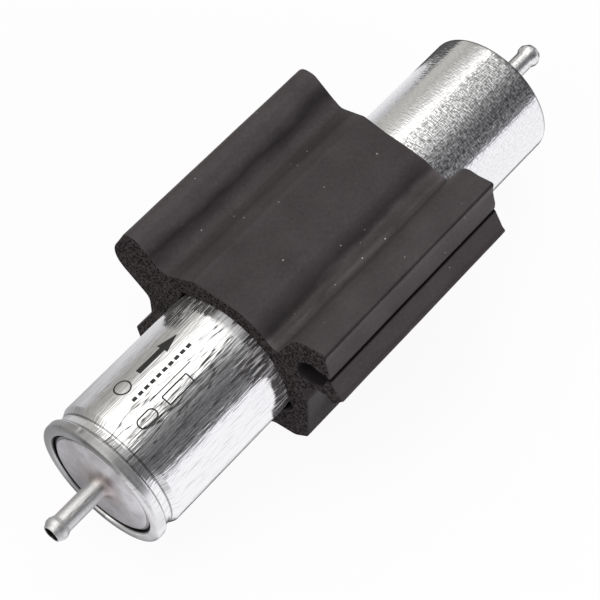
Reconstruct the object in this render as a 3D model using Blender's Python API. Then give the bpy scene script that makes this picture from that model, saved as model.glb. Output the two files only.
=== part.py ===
"""In-line fuel filter held in an extruded rubber mounting sleeve.

The filter's axis runs along X. Fuel enters at -X through the crimped cover and leaves at +X through the
canister's closed end. Z is up and the sleeve's soles stand on z = 0. All the sizes below are in millimetres:
turned profiles are (x, radius) from the piece's own datum, and section outlines are (y, z) about the axis.
"""
import math

import bmesh
import bpy
from mathutils import Vector

MM = 0.001

# Canister
CAN_RADIUS = 27.5
CAN_WALL = 1.0
CAN_LENGTH = 225.2
END_WALL = 1.6
END_CORNER = 1.0
RIM_RADIUS = 27.7
RIM_BEND = 1.7
RIM_WIDTH = 3.6
LIP_INNER_RADIUS = 23.1
LIP_SINK = 0.5
LIP_THICKNESS = 2.3
LIP_CORNER = 0.35
LIP_SLOPE = 1.6
RIM_SHOULDER = 0.3
RIM_SHOULDER_RADIUS = 27.15
NECK_RADIUS = 25.8
NECK_X = 8.0
NECK_END_X = 11.0
NECK_FLOOR = 0.8
NECK_EASE = 0.2

# Hose spigots, the same on both ends except for their length
SPIGOT_RADIUS = 3.9
BEAD_RADIUS = 4.7
SPIGOT_TIP_RADIUS = 3.55
SPIGOT_BORE_RADIUS = 3.0
BEAD_X = 3.1
BEAD_END_X = 5.5
TIP_CORNER = 0.2
SPIGOT_ROOT_FILLET = 3.5
INLET_SPIGOT_LENGTH = 24.5
OUTLET_SPIGOT_LENGTH = 28.9

# Cover and its seal
COVER_THICKNESS = 1.2
COVER_PLATE_RADIUS = 21.25
COVER_FLANGE_RADIUS = 25.8
COVER_SINK = 0.65
COVER_CORNER = 0.4
COVER_HOLE_FILLET = 2.0
SEAL_INNER_RADIUS = 22.4
SEAL_OUTER_RADIUS = 25.1
SEAL_THICKNESS = 1.9
SEAL_CORNER = 0.4

# Filter element
PLEATS = 36
PLEAT_OUTER_RADIUS = 23.0
PLEAT_INNER_RADIUS = 11.2
PAPER = 0.45
FOLD_HALF_WIDTH = 0.75
VALLEY_HALF_WIDTH = 0.12
END_DISC_RADIUS = 24.4
END_DISC_THICKNESS = 1.2
END_DISC_SKIRT = 4.5
END_DISC_WALL = 0.8
END_DISC_CORNER = 0.6
CENTRE_TUBE_RADIUS = 10.6
CENTRE_TUBE_WALL = 0.6
CENTRE_TUBE_COLUMNS = 20
CENTRE_TUBE_ROWS = 29
NECK_TUBE_RADIUS = 6.0
NECK_TUBE_BORE = 4.9
NECK_SHOULDER_RADIUS = 8.6
NECK_SHOULDER_LENGTH = 3.8
NECK_TUBE_LENGTH = 9.0
NECK_TUBE_CORNER = 0.4
NECK_STOP_LENGTH = 2.0
NECK_STOP_RADIUS = 3.2
OUTLET_SEAL_RADIUS = 9.6
OUTLET_SEAL_LENGTH = 5.2
OUTLET_SEAL_CORNER = 0.6
SEAL_SOCKET_RADIUS = 11.4
SEAL_SOCKET_HEIGHT = 3.0
STRAINER_RADIUS = 4.4
STRAINER_WALL = 0.4
STRAINER_LENGTH = 15.0
STRAINER_CORNER = 0.8

# Preload spring and its seat
ELEMENT_START_X = 30.0
SPRING_RADIUS = 9.0
SPRING_WIRE_RADIUS = 0.8
SPRING_TURNS = 6
SPRING_TURN_STEPS = 18
SPRING_EVENNESS = 0.55
SEAT_THICKNESS = 1.0
SEAT_HUB_RADIUS = 13.0
SEAT_BOSS_RADIUS = 7.6
SEAT_BOSS_HEIGHT = 3.0
SEAT_BOSS_CORNER = 1.0
SEAT_ARMS = 4
SEAT_ARM_WIDTH = 9.0

# Mounting sleeve
SLEEVE_START_X = 68.85
SLEEVE_LENGTH = 95.6
SLEEVE_END_SKEW = 0.064
SLEEVE_BORE_RADIUS = 27.8
SLEEVE_BORE_POINTS = 72
SOLE_Z = -36.0
BORE_RELIEFS = [(136.0, 12.0, 2.6), (350.0, 14.0, 2.6)]

# Touching pieces keep this gap
GAP = 0.3

LARGE_SEGMENTS = 40
SMALL_SEGMENTS = 24
BEAD_STEPS = 3
LARGE_FILLET_STEP = math.radians(7.5)
FILLET_STEP = math.radians(15.0)
SMALL_FILLET_STEP = math.radians(30.0)
SHARP_ANGLE = math.radians(35.0)

# X of each piece's datum, from the middle of the whole length
TOTAL_LENGTH = INLET_SPIGOT_LENGTH + CAN_LENGTH + OUTLET_SPIGOT_LENGTH
RIM_X = INLET_SPIGOT_LENGTH - TOTAL_LENGTH / 2
CAN_END_X = RIM_X + CAN_LENGTH
INNER_END_X = CAN_END_X - END_WALL
FLANGE_X = RIM_X + LIP_THICKNESS + GAP
COVER_SEAL_X = FLANGE_X + COVER_THICKNESS + GAP
SEAT_X = RIM_X + ELEMENT_START_X - GAP - SEAT_THICKNESS
INLET_DISC_X = RIM_X + ELEMENT_START_X
OUTLET_SEAL_X = INNER_END_X - GAP - OUTLET_SEAL_LENGTH
OUTLET_DISC_X = OUTLET_SEAL_X - GAP - NECK_SHOULDER_LENGTH - END_DISC_THICKNESS
PAPER_START_X = INLET_DISC_X + END_DISC_THICKNESS + GAP
PAPER_END_X = OUTLET_DISC_X - GAP


def clear_scene():
    for obj in list(bpy.data.objects):
        bpy.data.objects.remove(obj, do_unlink=True)


def make_material(name, colour, metallic, roughness):
    material = bpy.data.materials.new(name)
    material.use_nodes = True
    shader = material.node_tree.nodes["Principled BSDF"]
    shader.inputs["Base Color"].default_value = (*colour, 1.0)
    shader.inputs["Metallic"].default_value = metallic
    shader.inputs["Roughness"].default_value = roughness
    return material


def add_object(name, bm, material, parent, x):
    """Turn the bmesh, drawn in millimetres, into a named object x millimetres along the filter's axis."""
    bmesh.ops.recalc_face_normals(bm, faces=bm.faces)
    bmesh.ops.scale(bm, vec=(MM, MM, MM), verts=bm.verts)
    mesh = bpy.data.meshes.new(name)
    bm.to_mesh(mesh)
    bm.free()
    mesh.materials.append(material)
    mesh.shade_smooth()
    mesh.set_sharp_from_angle(angle=SHARP_ANGLE)
    obj = bpy.data.objects.new(name, mesh)
    bpy.context.scene.collection.objects.link(obj)
    obj.parent = parent
    obj.location = (x * MM, 0.0, 0.0)
    return obj


def arc(centre, radius, start, end, steps):
    """Points on an arc about centre, from the start angle to the end angle, in degrees."""
    points = []
    for i in range(steps + 1):
        angle = math.radians(start + (end - start) * i / steps)
        points.append((centre[0] + radius * math.cos(angle), centre[1] + radius * math.sin(angle)))
    return points


def rounded(corners):
    """A closed outline from (x, y, fillet radius) corners, each fillet being an arc tangent to both sides."""
    points = []
    for i, (x, y, radius) in enumerate(corners):
        corner = Vector((x, y))
        before = (Vector(corners[i - 1][:2]) - corner).normalized()
        after = (Vector(corners[(i + 1) % len(corners)][:2]) - corner).normalized()
        half = before.angle(after) / 2
        centre = corner + (before + after).normalized() * radius / math.sin(half)
        first = corner + before * radius / math.tan(half) - centre
        turn = (math.pi - 2 * half) * math.copysign(1.0, before.x * after.y - before.y * after.x)
        step = SMALL_FILLET_STEP if radius <= 1.0 else FILLET_STEP if radius <= 6.0 else LARGE_FILLET_STEP
        steps = max(1, round(abs(turn) / step))
        start = math.degrees(math.atan2(first.y, first.x))
        points += arc(centre, radius, start, start - math.degrees(turn), steps)
    return points


def turned(profile, segments):
    """Spin a closed (x, radius) profile about the filter's axis; a profile may have one side on the axis."""
    bm = bmesh.new()
    verts = [bm.verts.new((x, 0.0, radius)) for x, radius in profile]
    edges = [bm.edges.new((verts[i - 1], verts[i])) for i in range(len(verts))]
    bmesh.ops.spin(
        bm, geom=verts + edges, cent=(0, 0, 0), axis=(1, 0, 0), angle=2 * math.pi,
        steps=segments, use_merge=True,
    )
    bmesh.ops.remove_doubles(bm, verts=bm.verts, dist=1e-4)
    loose = [edge for edge in bm.edges if not edge.link_faces]
    bmesh.ops.delete(bm, geom=loose, context="EDGES")
    return bm


def extruded(outlines, length):
    """Fill the outlines, a hole being an outline inside another, and extrude them along X."""
    bm = bmesh.new()
    edges = []
    for outline in outlines:
        verts = [bm.verts.new((0.0, y, z)) for y, z in outline]
        edges += [bm.edges.new((verts[i - 1], verts[i])) for i in range(len(verts))]
    filled = bmesh.ops.triangle_fill(bm, edges=edges, use_beauty=True, normal=(1, 0, 0))
    faces = [item for item in filled["geom"] if isinstance(item, bmesh.types.BMFace)]
    grown = bmesh.ops.extrude_face_region(bm, geom=faces, use_keep_orig=True)
    moved = [item for item in grown["geom"] if isinstance(item, bmesh.types.BMVert)]
    bmesh.ops.translate(bm, verts=moved, vec=(length, 0, 0))
    return bm


def spigot(length):
    """Outer profile of a hose spigot, from the rounded root on a wall at x = 0 to the mouth at x = length."""
    root = SPIGOT_ROOT_FILLET
    points = arc((root, SPIGOT_RADIUS + root), root, 180, 270, 4)
    points.append((length - BEAD_END_X, SPIGOT_RADIUS))
    rise = BEAD_RADIUS - SPIGOT_RADIUS
    for i in range(1, BEAD_STEPS + 1):
        part = i / BEAD_STEPS
        x = length - BEAD_END_X + (BEAD_END_X - BEAD_X) * part
        points.append((x, SPIGOT_RADIUS + rise * (1 - math.cos(math.pi * part)) / 2))
    drop = BEAD_RADIUS - SPIGOT_TIP_RADIUS
    for i in range(1, BEAD_STEPS + 1):
        part = i / BEAD_STEPS
        x = length - BEAD_X + (BEAD_X - TIP_CORNER) * part
        points.append((x, BEAD_RADIUS - drop * (1 - math.cos(math.pi / 2 * part))))
    points.append((length, SPIGOT_TIP_RADIUS - TIP_CORNER))
    return points


def canister(parent, metal):
    """Deep-drawn can: rolled lip, rim bead and neck groove at -X, closed end with the outlet spigot at +X."""
    inner = CAN_RADIUS - CAN_WALL
    neck_inner = NECK_RADIUS - CAN_WALL
    shoulder = RIM_WIDTH + RIM_SHOULDER
    neck_edges = (NECK_X - NECK_FLOOR, NECK_X + NECK_FLOOR)
    outside = [(LIP_THICKNESS, LIP_INNER_RADIUS), (LIP_SINK + LIP_CORNER, LIP_INNER_RADIUS)]
    outside += [(LIP_SINK, LIP_INNER_RADIUS + LIP_CORNER), (LIP_SINK / 4, LIP_INNER_RADIUS + LIP_SLOPE)]
    outside += arc((RIM_BEND, RIM_RADIUS - RIM_BEND), RIM_BEND, 180, 90, 4)
    outside += [(RIM_WIDTH, RIM_RADIUS), (shoulder, RIM_SHOULDER_RADIUS)]
    outside += [(neck_edges[0], NECK_RADIUS + NECK_EASE), (NECK_X, NECK_RADIUS)]
    outside += [(neck_edges[1], NECK_RADIUS + NECK_EASE), (NECK_END_X, CAN_RADIUS)]
    outside += arc((CAN_LENGTH - END_CORNER, CAN_RADIUS - END_CORNER), END_CORNER, 90, 0, 3)
    outside += [(CAN_LENGTH + x, radius) for x, radius in spigot(OUTLET_SPIGOT_LENGTH)]
    mouth = CAN_LENGTH + OUTLET_SPIGOT_LENGTH
    floor = CAN_LENGTH - END_WALL
    inside = [(mouth, SPIGOT_BORE_RADIUS), (floor, SPIGOT_BORE_RADIUS)]
    inside += [(floor, OUTLET_SEAL_RADIUS + GAP), (floor - SEAL_SOCKET_HEIGHT, OUTLET_SEAL_RADIUS + GAP)]
    inside += [(floor - SEAL_SOCKET_HEIGHT, SEAL_SOCKET_RADIUS), (floor, SEAL_SOCKET_RADIUS)]
    inside += arc((floor - END_CORNER, inner - END_CORNER), END_CORNER, 0, 90, 2)
    inside += [(NECK_END_X + CAN_WALL / 2, inner), (neck_edges[1], neck_inner + NECK_EASE)]
    inside += [(NECK_X, neck_inner), (neck_edges[0], neck_inner + NECK_EASE)]
    inside += [(shoulder, RIM_SHOULDER_RADIUS - CAN_WALL)]
    inside += [(LIP_THICKNESS, RIM_SHOULDER_RADIUS - CAN_WALL)]
    return add_object("canister", turned(outside + inside, LARGE_SEGMENTS), metal, parent, RIM_X)


def inlet_cover(parent, metal):
    """Stepped cover plate with the inlet spigot, its flange held under the canister's rolled lip."""
    step = FLANGE_X - RIM_X - COVER_SINK
    outside = [(-x, radius) for x, radius in reversed(spigot(INLET_SPIGOT_LENGTH + COVER_SINK))]
    outside += [(0.0, COVER_PLATE_RADIUS - COVER_CORNER), (COVER_CORNER, COVER_PLATE_RADIUS)]
    outside += [(step, COVER_PLATE_RADIUS)]
    outside += [(step, COVER_FLANGE_RADIUS), (step + COVER_THICKNESS, COVER_FLANGE_RADIUS)]
    inside = [(step + COVER_THICKNESS, COVER_PLATE_RADIUS - COVER_THICKNESS)]
    inside += [(COVER_THICKNESS, COVER_PLATE_RADIUS - COVER_THICKNESS)]
    fillet = COVER_HOLE_FILLET
    inside += arc((COVER_THICKNESS - fillet, SPIGOT_BORE_RADIUS + fillet), fillet, 0, -90, 4)
    inside += [(-INLET_SPIGOT_LENGTH - COVER_SINK, SPIGOT_BORE_RADIUS)]
    cover = turned(outside + inside, LARGE_SEGMENTS)
    return add_object("inlet_cover", cover, metal, parent, RIM_X + COVER_SINK)


def ring(name, material, parent, x, length, inner, outer, corner, segments):
    """A plain ring with a rectangular section and chamfered corners."""
    far = length - corner
    section = [(corner, inner), (far, inner), (length, inner + corner), (length, outer - corner)]
    section += [(far, outer), (corner, outer), (0.0, outer - corner), (0.0, inner + corner)]
    return add_object(name, turned(section, segments), material, parent, x)


def inlet_end_disc(parent, steel):
    """Closed disc with a skirt round the pleats; the spring seat pushes on its flat side."""
    back = END_DISC_THICKNESS
    inner = END_DISC_RADIUS - END_DISC_WALL
    profile = [(0.0, 0.0), (0.0, END_DISC_RADIUS - END_DISC_CORNER), (END_DISC_CORNER, END_DISC_RADIUS)]
    profile += [(back + END_DISC_SKIRT, END_DISC_RADIUS), (back + END_DISC_SKIRT, inner)]
    profile += [(back, inner), (back, 0.0)]
    return add_object("inlet_end_disc", turned(profile, LARGE_SEGMENTS), steel, parent, INLET_DISC_X)


def outlet_end_disc(parent, steel):
    """Open disc with a skirt, a shoulder for the outlet seal and a neck that plugs into the seal."""
    shoulder = END_DISC_THICKNESS + NECK_SHOULDER_LENGTH
    tip = END_DISC_THICKNESS + NECK_TUBE_LENGTH
    stop = tip - NECK_STOP_LENGTH
    inner = END_DISC_RADIUS - END_DISC_WALL
    profile = [(-END_DISC_SKIRT, inner), (-END_DISC_SKIRT, END_DISC_RADIUS)]
    profile += [(END_DISC_THICKNESS - END_DISC_CORNER, END_DISC_RADIUS)]
    profile += [(END_DISC_THICKNESS, END_DISC_RADIUS - END_DISC_CORNER)]
    profile += [(END_DISC_THICKNESS, NECK_SHOULDER_RADIUS), (shoulder, NECK_SHOULDER_RADIUS)]
    profile += [(shoulder, NECK_TUBE_RADIUS), (tip - NECK_TUBE_CORNER, NECK_TUBE_RADIUS)]
    profile += [(tip, NECK_TUBE_RADIUS - NECK_TUBE_CORNER), (tip, NECK_STOP_RADIUS)]
    profile += [(stop, NECK_STOP_RADIUS), (stop, NECK_TUBE_BORE), (0.0, NECK_TUBE_BORE), (0.0, inner)]
    return add_object("outlet_end_disc", turned(profile, LARGE_SEGMENTS), steel, parent, OUTLET_DISC_X)


def outlet_strainer(parent, nylon):
    """Thimble of woven mesh, closed towards the element, that stands on a stop inside the outlet neck."""
    inner = STRAINER_RADIUS - STRAINER_WALL
    corner = STRAINER_CORNER
    profile = [(0.0, 0.0), (0.0, STRAINER_RADIUS - corner), (corner, STRAINER_RADIUS)]
    profile += [(STRAINER_LENGTH, STRAINER_RADIUS), (STRAINER_LENGTH, inner), (STRAINER_WALL + corner, inner)]
    profile += [(STRAINER_WALL, inner - corner), (STRAINER_WALL, 0.0)]
    stop_x = OUTLET_DISC_X + END_DISC_THICKNESS + NECK_TUBE_LENGTH - NECK_STOP_LENGTH
    start_x = stop_x - GAP - STRAINER_LENGTH
    return add_object("outlet_strainer", turned(profile, SMALL_SEGMENTS), nylon, parent, start_x)


def pleat_loop(outer, inner, outer_half, inner_half):
    """One side of the folded paper, flat at the folds' outer radius and at the valleys' inner radius."""
    points = []
    half_pitch = math.pi / PLEATS
    for i in range(PLEATS):
        fold = 2 * half_pitch * i
        valley = fold + half_pitch
        for radius, angle in (
            (outer, fold - outer_half / outer),
            (outer, fold + outer_half / outer),
            (inner, valley - inner_half / inner),
            (inner, valley + inner_half / inner),
        ):
            points.append((radius * math.cos(angle), radius * math.sin(angle)))
    return points


def filter_pleats(parent, paper):
    """Star-pleated paper, one folded sheet closed into a ring."""
    fold, valley = FOLD_HALF_WIDTH, VALLEY_HALF_WIDTH
    outer_side = pleat_loop(PLEAT_OUTER_RADIUS, PLEAT_INNER_RADIUS + PAPER, fold, valley)
    inner_side = pleat_loop(PLEAT_OUTER_RADIUS - PAPER, PLEAT_INNER_RADIUS, fold - PAPER, valley + PAPER)
    length = PAPER_END_X - PAPER_START_X
    bm = bmesh.new()
    loops = []
    for x in (0.0, length):
        for side in (outer_side, inner_side):
            loops.append([bm.verts.new((x, y, z)) for y, z in side])
    near_outer, near_inner, far_outer, far_inner = loops
    for first, second in (
        (near_outer, near_inner),
        (near_inner, far_inner),
        (far_inner, far_outer),
        (far_outer, near_outer),
    ):
        for i in range(len(first)):
            bm.faces.new((first[i - 1], first[i], second[i], second[i - 1]))
    return add_object("filter_pleats", bm, paper, parent, PAPER_START_X)


def centre_tube(parent, steel):
    """Perforated support tube inside the pleats, a cylindrical grid with windows left out, made solid."""
    columns = CENTRE_TUBE_COLUMNS
    rows = CENTRE_TUBE_ROWS
    length = PAPER_END_X - PAPER_START_X
    bm = bmesh.new()
    rings = []
    for row in range(rows + 1):
        x = length * row / rows
        angles = [2 * math.pi * column / columns for column in range(columns)]
        rings.append([
            bm.verts.new((x, CENTRE_TUBE_RADIUS * math.cos(angle), CENTRE_TUBE_RADIUS * math.sin(angle)))
            for angle in angles
        ])
    for row in range(rows):
        for column in range(columns):
            if row % 2 == 1 and column % 2 == 1:
                continue
            bm.faces.new((
                rings[row][column - 1],
                rings[row][column],
                rings[row + 1][column],
                rings[row + 1][column - 1],
            ))
    tube = add_object("centre_tube", bm, steel, parent, PAPER_START_X)
    solidify = tube.modifiers.new("wall", "SOLIDIFY")
    solidify.thickness = CENTRE_TUBE_WALL * MM
    solidify.offset = -1.0
    return tube


def preload_spring(parent, steel):
    """Compression spring between the cover and the spring seat, with closer turns at both ends."""
    start = RIM_X + COVER_SINK + COVER_THICKNESS + GAP + SPRING_WIRE_RADIUS
    end = SEAT_X - GAP - SPRING_WIRE_RADIUS
    curve = bpy.data.curves.new("preload_spring", "CURVE")
    curve.dimensions = "3D"
    curve.bevel_depth = SPRING_WIRE_RADIUS * MM
    curve.bevel_resolution = 2
    curve.use_fill_caps = True
    count = SPRING_TURNS * SPRING_TURN_STEPS
    spline = curve.splines.new("POLY")
    spline.points.add(count)
    for i in range(count + 1):
        part = i / count
        eased = part * part * (3 - 2 * part)
        rise = SPRING_EVENNESS * part + (1 - SPRING_EVENNESS) * eased
        angle = 2 * math.pi * SPRING_TURNS * part
        spline.points[i].co = (
            (end - start) * rise * MM,
            SPRING_RADIUS * math.cos(angle) * MM,
            SPRING_RADIUS * math.sin(angle) * MM,
            1.0,
        )
    curve.materials.append(steel)
    spring = bpy.data.objects.new("preload_spring", curve)
    bpy.context.scene.collection.objects.link(spring)
    spring.parent = parent
    spring.location = (start * MM, 0.0, 0.0)
    return spring


def spring_seat(parent, steel):
    """Pressed star that centres the element in the can, with a boss that keeps the spring in place."""
    tip_radius = CAN_RADIUS - CAN_WALL - GAP
    half_arm = SEAT_ARM_WIDTH / 2
    outline = []
    for i in range(SEAT_ARMS):
        middle = 360.0 * i / SEAT_ARMS
        spread = math.degrees(math.asin(half_arm / tip_radius))
        root = math.degrees(math.asin(half_arm / SEAT_HUB_RADIUS))
        outline += arc((0, 0), tip_radius, middle - spread, middle + spread, 3)
        outline += arc((0, 0), SEAT_HUB_RADIUS, middle + root, middle + 360.0 / SEAT_ARMS - root, 3)
    seat = add_object("spring_seat", extruded([outline], SEAT_THICKNESS), steel, parent, SEAT_X)
    corner = SEAT_BOSS_CORNER
    boss_profile = [(-SEAT_BOSS_HEIGHT, 0.0), (-SEAT_BOSS_HEIGHT, SEAT_BOSS_RADIUS - corner)]
    boss_profile += [(corner - SEAT_BOSS_HEIGHT, SEAT_BOSS_RADIUS), (SEAT_THICKNESS / 2, SEAT_BOSS_RADIUS)]
    boss_profile += [(SEAT_THICKNESS / 2, 0.0)]
    boss = add_object("seat_boss_shape", turned(boss_profile, SMALL_SEGMENTS), steel, parent, SEAT_X)
    boss.hide_render = True
    boss.display_type = "WIRE"
    union = seat.modifiers.new("boss", "BOOLEAN")
    union.operation = "UNION"
    union.object = boss
    return seat


def sleeve_outline():
    """Outer section of the sleeve: the ear, down past the feet on -Z, the lips, then back over the top."""
    ear = [(42.3, 34.2, 4.0), (48.3, 34.0, 5.0), (57.6, 13.6, 10.0), (39.1, 0.4, 5.0), (39.1, -10.5, 8.0)]
    left_foot = [(48.4, -29.8, 2.0), (46.9, SOLE_Z, 1.5), (35.0, SOLE_Z, 2.0)]
    arch = [(31.0, -30.5, 3.0), (18.0, -30.5, 4.0)]
    belly = [(11.0, SOLE_Z, 2.0), (-12.0, SOLE_Z, 2.0)]
    right_foot = [(-21.0, -24.8, 6.0), (-31.5, -22.6, 6.0), (-37.3, -17.4, 1.2), (-37.3, 9.6, 4.0)]
    lower_lip = [(-34.0, 14.2, 0.8), (-43.6, 22.4, 4.0), (-48.8, 19.6, 1.0), (-53.4, 26.4, 0.8)]
    slot = [(-51.5, 27.4, 1.5), (-47.2, 33.3, 0.4), (-46.0, 33.3, 0.4), (-43.6, 26.2, 5.0)]
    slot += [(-38.2, 23.6, 4.0), (-32.4, 23.6, 2.2), (-32.7, 30.8, 3.5), (-37.4, 34.9, 5.0)]
    upper_lip = [(-47.0, 34.0, 0.4), (-46.9, 37.0, 2.0), (-45.2, 43.0, 3.0), (-45.2, 48.0, 1.2)]
    crease = [(-31.0, 44.7, 9.0), (-23.6, 28.1, 1.5), (-21.2, 28.2, 2.5)]
    top = [(-14.5, 33.2, 16.0), (-7.0, 36.1, 14.0), (15.8, 34.3, 3.0), (30.3, 24.4, 5.0)]
    return rounded(ear + left_foot + arch + belly + right_foot + lower_lip + slot + upper_lip + crease + top)


def sleeve_bore():
    """The sleeve's bore, a circle with shallow reliefs where the rubber stands off the can."""
    points = []
    for i in range(SLEEVE_BORE_POINTS):
        degrees = 360.0 * i / SLEEVE_BORE_POINTS
        radius = SLEEVE_BORE_RADIUS
        for centre, half_width, depth in BORE_RELIEFS:
            offset = abs(degrees - centre) / half_width
            if offset < 1.0:
                radius += depth * (1 + math.cos(math.pi * offset)) / 2
        points.append((-radius * math.cos(math.radians(degrees)), radius * math.sin(math.radians(degrees))))
    return points


def mounting_sleeve(parent, rubber):
    """Extruded sleeve with an ear, two feet and two lips; its +X end is cut a little out of square."""
    bm = extruded([sleeve_outline(), sleeve_bore()], SLEEVE_LENGTH)
    for vert in bm.verts:
        if vert.co.x > SLEEVE_LENGTH / 2:
            vert.co.x += SLEEVE_END_SKEW * vert.co.y
    return add_object("mounting_sleeve", bm, rubber, parent, RIM_X + SLEEVE_START_X)


def main():
    clear_scene()
    outline = sleeve_outline()
    widths = [y for y, z in outline]
    axis = bpy.data.objects.new("filter_axis", None)
    bpy.context.scene.collection.objects.link(axis)
    axis.location = (0.0, -(min(widths) + max(widths)) / 2 * MM, -SOLE_Z * MM)

    aluminium = make_material("drawn_aluminium", (0.80, 0.80, 0.81), 1.0, 0.28)
    cover_metal = make_material("cover_aluminium", (0.66, 0.65, 0.66), 1.0, 0.45)
    steel = make_material("zinc_plated_steel", (0.62, 0.62, 0.60), 1.0, 0.38)
    spring_steel = make_material("spring_steel", (0.45, 0.45, 0.46), 1.0, 0.32)
    paper = make_material("resin_paper", (0.72, 0.60, 0.36), 0.0, 0.85)
    nylon = make_material("white_nylon", (0.85, 0.85, 0.80), 0.0, 0.50)
    seal_rubber = make_material("seal_rubber", (0.03, 0.03, 0.03), 0.0, 0.60)
    sponge = make_material("sponge_rubber", (0.058, 0.055, 0.055), 0.0, 0.75)

    canister(axis, aluminium)
    inlet_cover(axis, cover_metal)
    ring("cover_seal", seal_rubber, axis, COVER_SEAL_X, SEAL_THICKNESS,
         SEAL_INNER_RADIUS, SEAL_OUTER_RADIUS, SEAL_CORNER, LARGE_SEGMENTS)
    preload_spring(axis, spring_steel)
    spring_seat(axis, steel)
    inlet_end_disc(axis, steel)
    filter_pleats(axis, paper)
    centre_tube(axis, steel)
    outlet_end_disc(axis, steel)
    outlet_strainer(axis, nylon)
    ring("outlet_seal", seal_rubber, axis, OUTLET_SEAL_X, OUTLET_SEAL_LENGTH,
         NECK_TUBE_RADIUS + GAP, OUTLET_SEAL_RADIUS, OUTLET_SEAL_CORNER, SMALL_SEGMENTS)
    mounting_sleeve(axis, sponge)


main()
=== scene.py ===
"""Looks of an in-line fuel filter in its rubber mounting sleeve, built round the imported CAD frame.

Shapes are drawn in millimetres about the filter's axis: X runs from the inlet to the outlet, angles start at
the top of the can and grow towards -Y. Everything is turned into metres and put in place when a mesh is made.
"""
import math

import bpy
import numpy as np
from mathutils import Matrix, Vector, geometry, kdtree, noise


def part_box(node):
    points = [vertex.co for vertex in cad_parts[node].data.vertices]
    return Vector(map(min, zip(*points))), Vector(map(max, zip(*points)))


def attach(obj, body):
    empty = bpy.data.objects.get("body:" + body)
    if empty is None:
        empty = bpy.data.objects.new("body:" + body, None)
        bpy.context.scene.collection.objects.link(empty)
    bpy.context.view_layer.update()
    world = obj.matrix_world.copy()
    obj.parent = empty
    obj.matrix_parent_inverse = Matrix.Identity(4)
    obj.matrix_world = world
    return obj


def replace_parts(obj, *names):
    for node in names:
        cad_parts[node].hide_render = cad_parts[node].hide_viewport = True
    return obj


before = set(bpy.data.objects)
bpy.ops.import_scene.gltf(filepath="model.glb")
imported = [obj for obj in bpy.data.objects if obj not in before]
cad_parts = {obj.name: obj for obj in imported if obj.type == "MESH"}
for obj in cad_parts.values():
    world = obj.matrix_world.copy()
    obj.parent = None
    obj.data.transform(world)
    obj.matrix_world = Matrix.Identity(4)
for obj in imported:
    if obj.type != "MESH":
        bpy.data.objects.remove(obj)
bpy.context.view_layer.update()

MM = 0.001
rng = np.random.default_rng(7)

# Places taken from the frame, in millimetres
can_low, can_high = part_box("canister")
sleeve_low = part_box("mounting_sleeve")[0]
AXIS_Y = (can_low.y + can_high.y) / 2 / MM
AXIS_Z = (can_low.z + can_high.z) / 2 / MM
RIM_X = can_low.x / MM
TIP_X = can_high.x / MM
INLET_TIP_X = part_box("inlet_cover")[0].x / MM
SLEEVE_X = sleeve_low.x / MM
SOLE_Z = sleeve_low.z / MM - AXIS_Z

# Can, with places along it measured from its rim, except END_X, which is in the frame like RIM_X
CAN_RADIUS = 27.5
CAN_WALL = 1.0
CAN_LENGTH = 225.2
END_X = RIM_X + CAN_LENGTH
END_WALL = 1.6
END_CORNER = 1.0
RIM_RADIUS = (can_high.z - can_low.z) / 2 / MM
LIP_INNER_RADIUS = 23.1
LIP_FLAP_X = 2.3
LIP_LENGTH = 3.9
SHOULDER_RADIUS = 26.4
NECK_RADIUS = 25.8
NECK_X = 8.0
NECK_END_X = 11.0
CAN_SEGMENTS = 240

# Hose spigots, with places along them measured back from the mouth
SPIGOT_RADIUS = 3.9
BEAD_RADIUS = 4.7
SPIGOT_BORE_RADIUS = 3.0
SPIGOT_ROOT_FILLET = 3.5
SPIGOT_FOOT_RADIUS = 8.0
BEAD_X = 3.1
BEAD_END_X = 5.5
MOUTH_CHAMFER = 0.3

# Cover
COVER_SINK = 0.65
COVER_THICKNESS = 1.2
COVER_STEP = 1.95
COVER_PLATE_RADIUS = 21.25
COVER_LEDGE_RADIUS = 22.6
COVER_FLANGE_RADIUS = 25.8
COVER_SEGMENTS = 160

# Sleeve, with (y, z) places on its section, and reliefs as (centre, half width, depth) in degrees and mm
SLEEVE_LENGTH = 95.6
SLEEVE_END_SKEW = 0.064
SLEEVE_BORE_RADIUS = 27.8
BORE_RELIEFS = [(136.0, 12.0, 2.6), (350.0, 14.0, 2.6)]
SLOT_CENTRE = (-37.6, 28.6)
SLIT_Z = 33.7
EDGE_ROUNDING = 0.25
EDGE_REACH = 0.4
SKIN_SPACING = 0.75
SKIN_INSET = 0.04
SKIN_GLOSS = 0.12
FACE_SPACING = 0.55
CELL_SIZE = 1.15
CELL_DEPTH = 0.45

# Printed marks and the strainer's mesh
INK_RADII = (CAN_RADIUS + 0.03, CAN_RADIUS - 0.12)
STRAINER_RADIUS = 4.4
STRAINER_THREADS = 12.0

# Studio, with lengths in metres
FLOOR_HALF = 4.0
REFLECTED_FLOOR_Z = -0.0002
BACKDROP_RINGS = 12
BACKDROP_SIDES = 64
STRIP_LEVEL = 1.7
FILL_POWER = 6.0
FILL_PLACE = (0.05, -0.85, 0.55)

# Camera, in millimetres about the filter's axis
CAMERA_TARGET = (-10.17, -3.64, -1.49)
CAMERA_FORWARD = (0.41184, 0.34471, -0.84354)
CAMERA_DISTANCE = 755.15
CAMERA_LENS = 122.344


# ---------------------------------------------------------------- outlines

def arc(centre, radius, start, end, steps):
    """Points on an arc about centre, from the start angle to the end angle, in degrees."""
    angles = np.radians(np.linspace(start, end, steps + 1))
    return [(centre[0] + radius * math.cos(a), centre[1] + radius * math.sin(a)) for a in angles]


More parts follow.
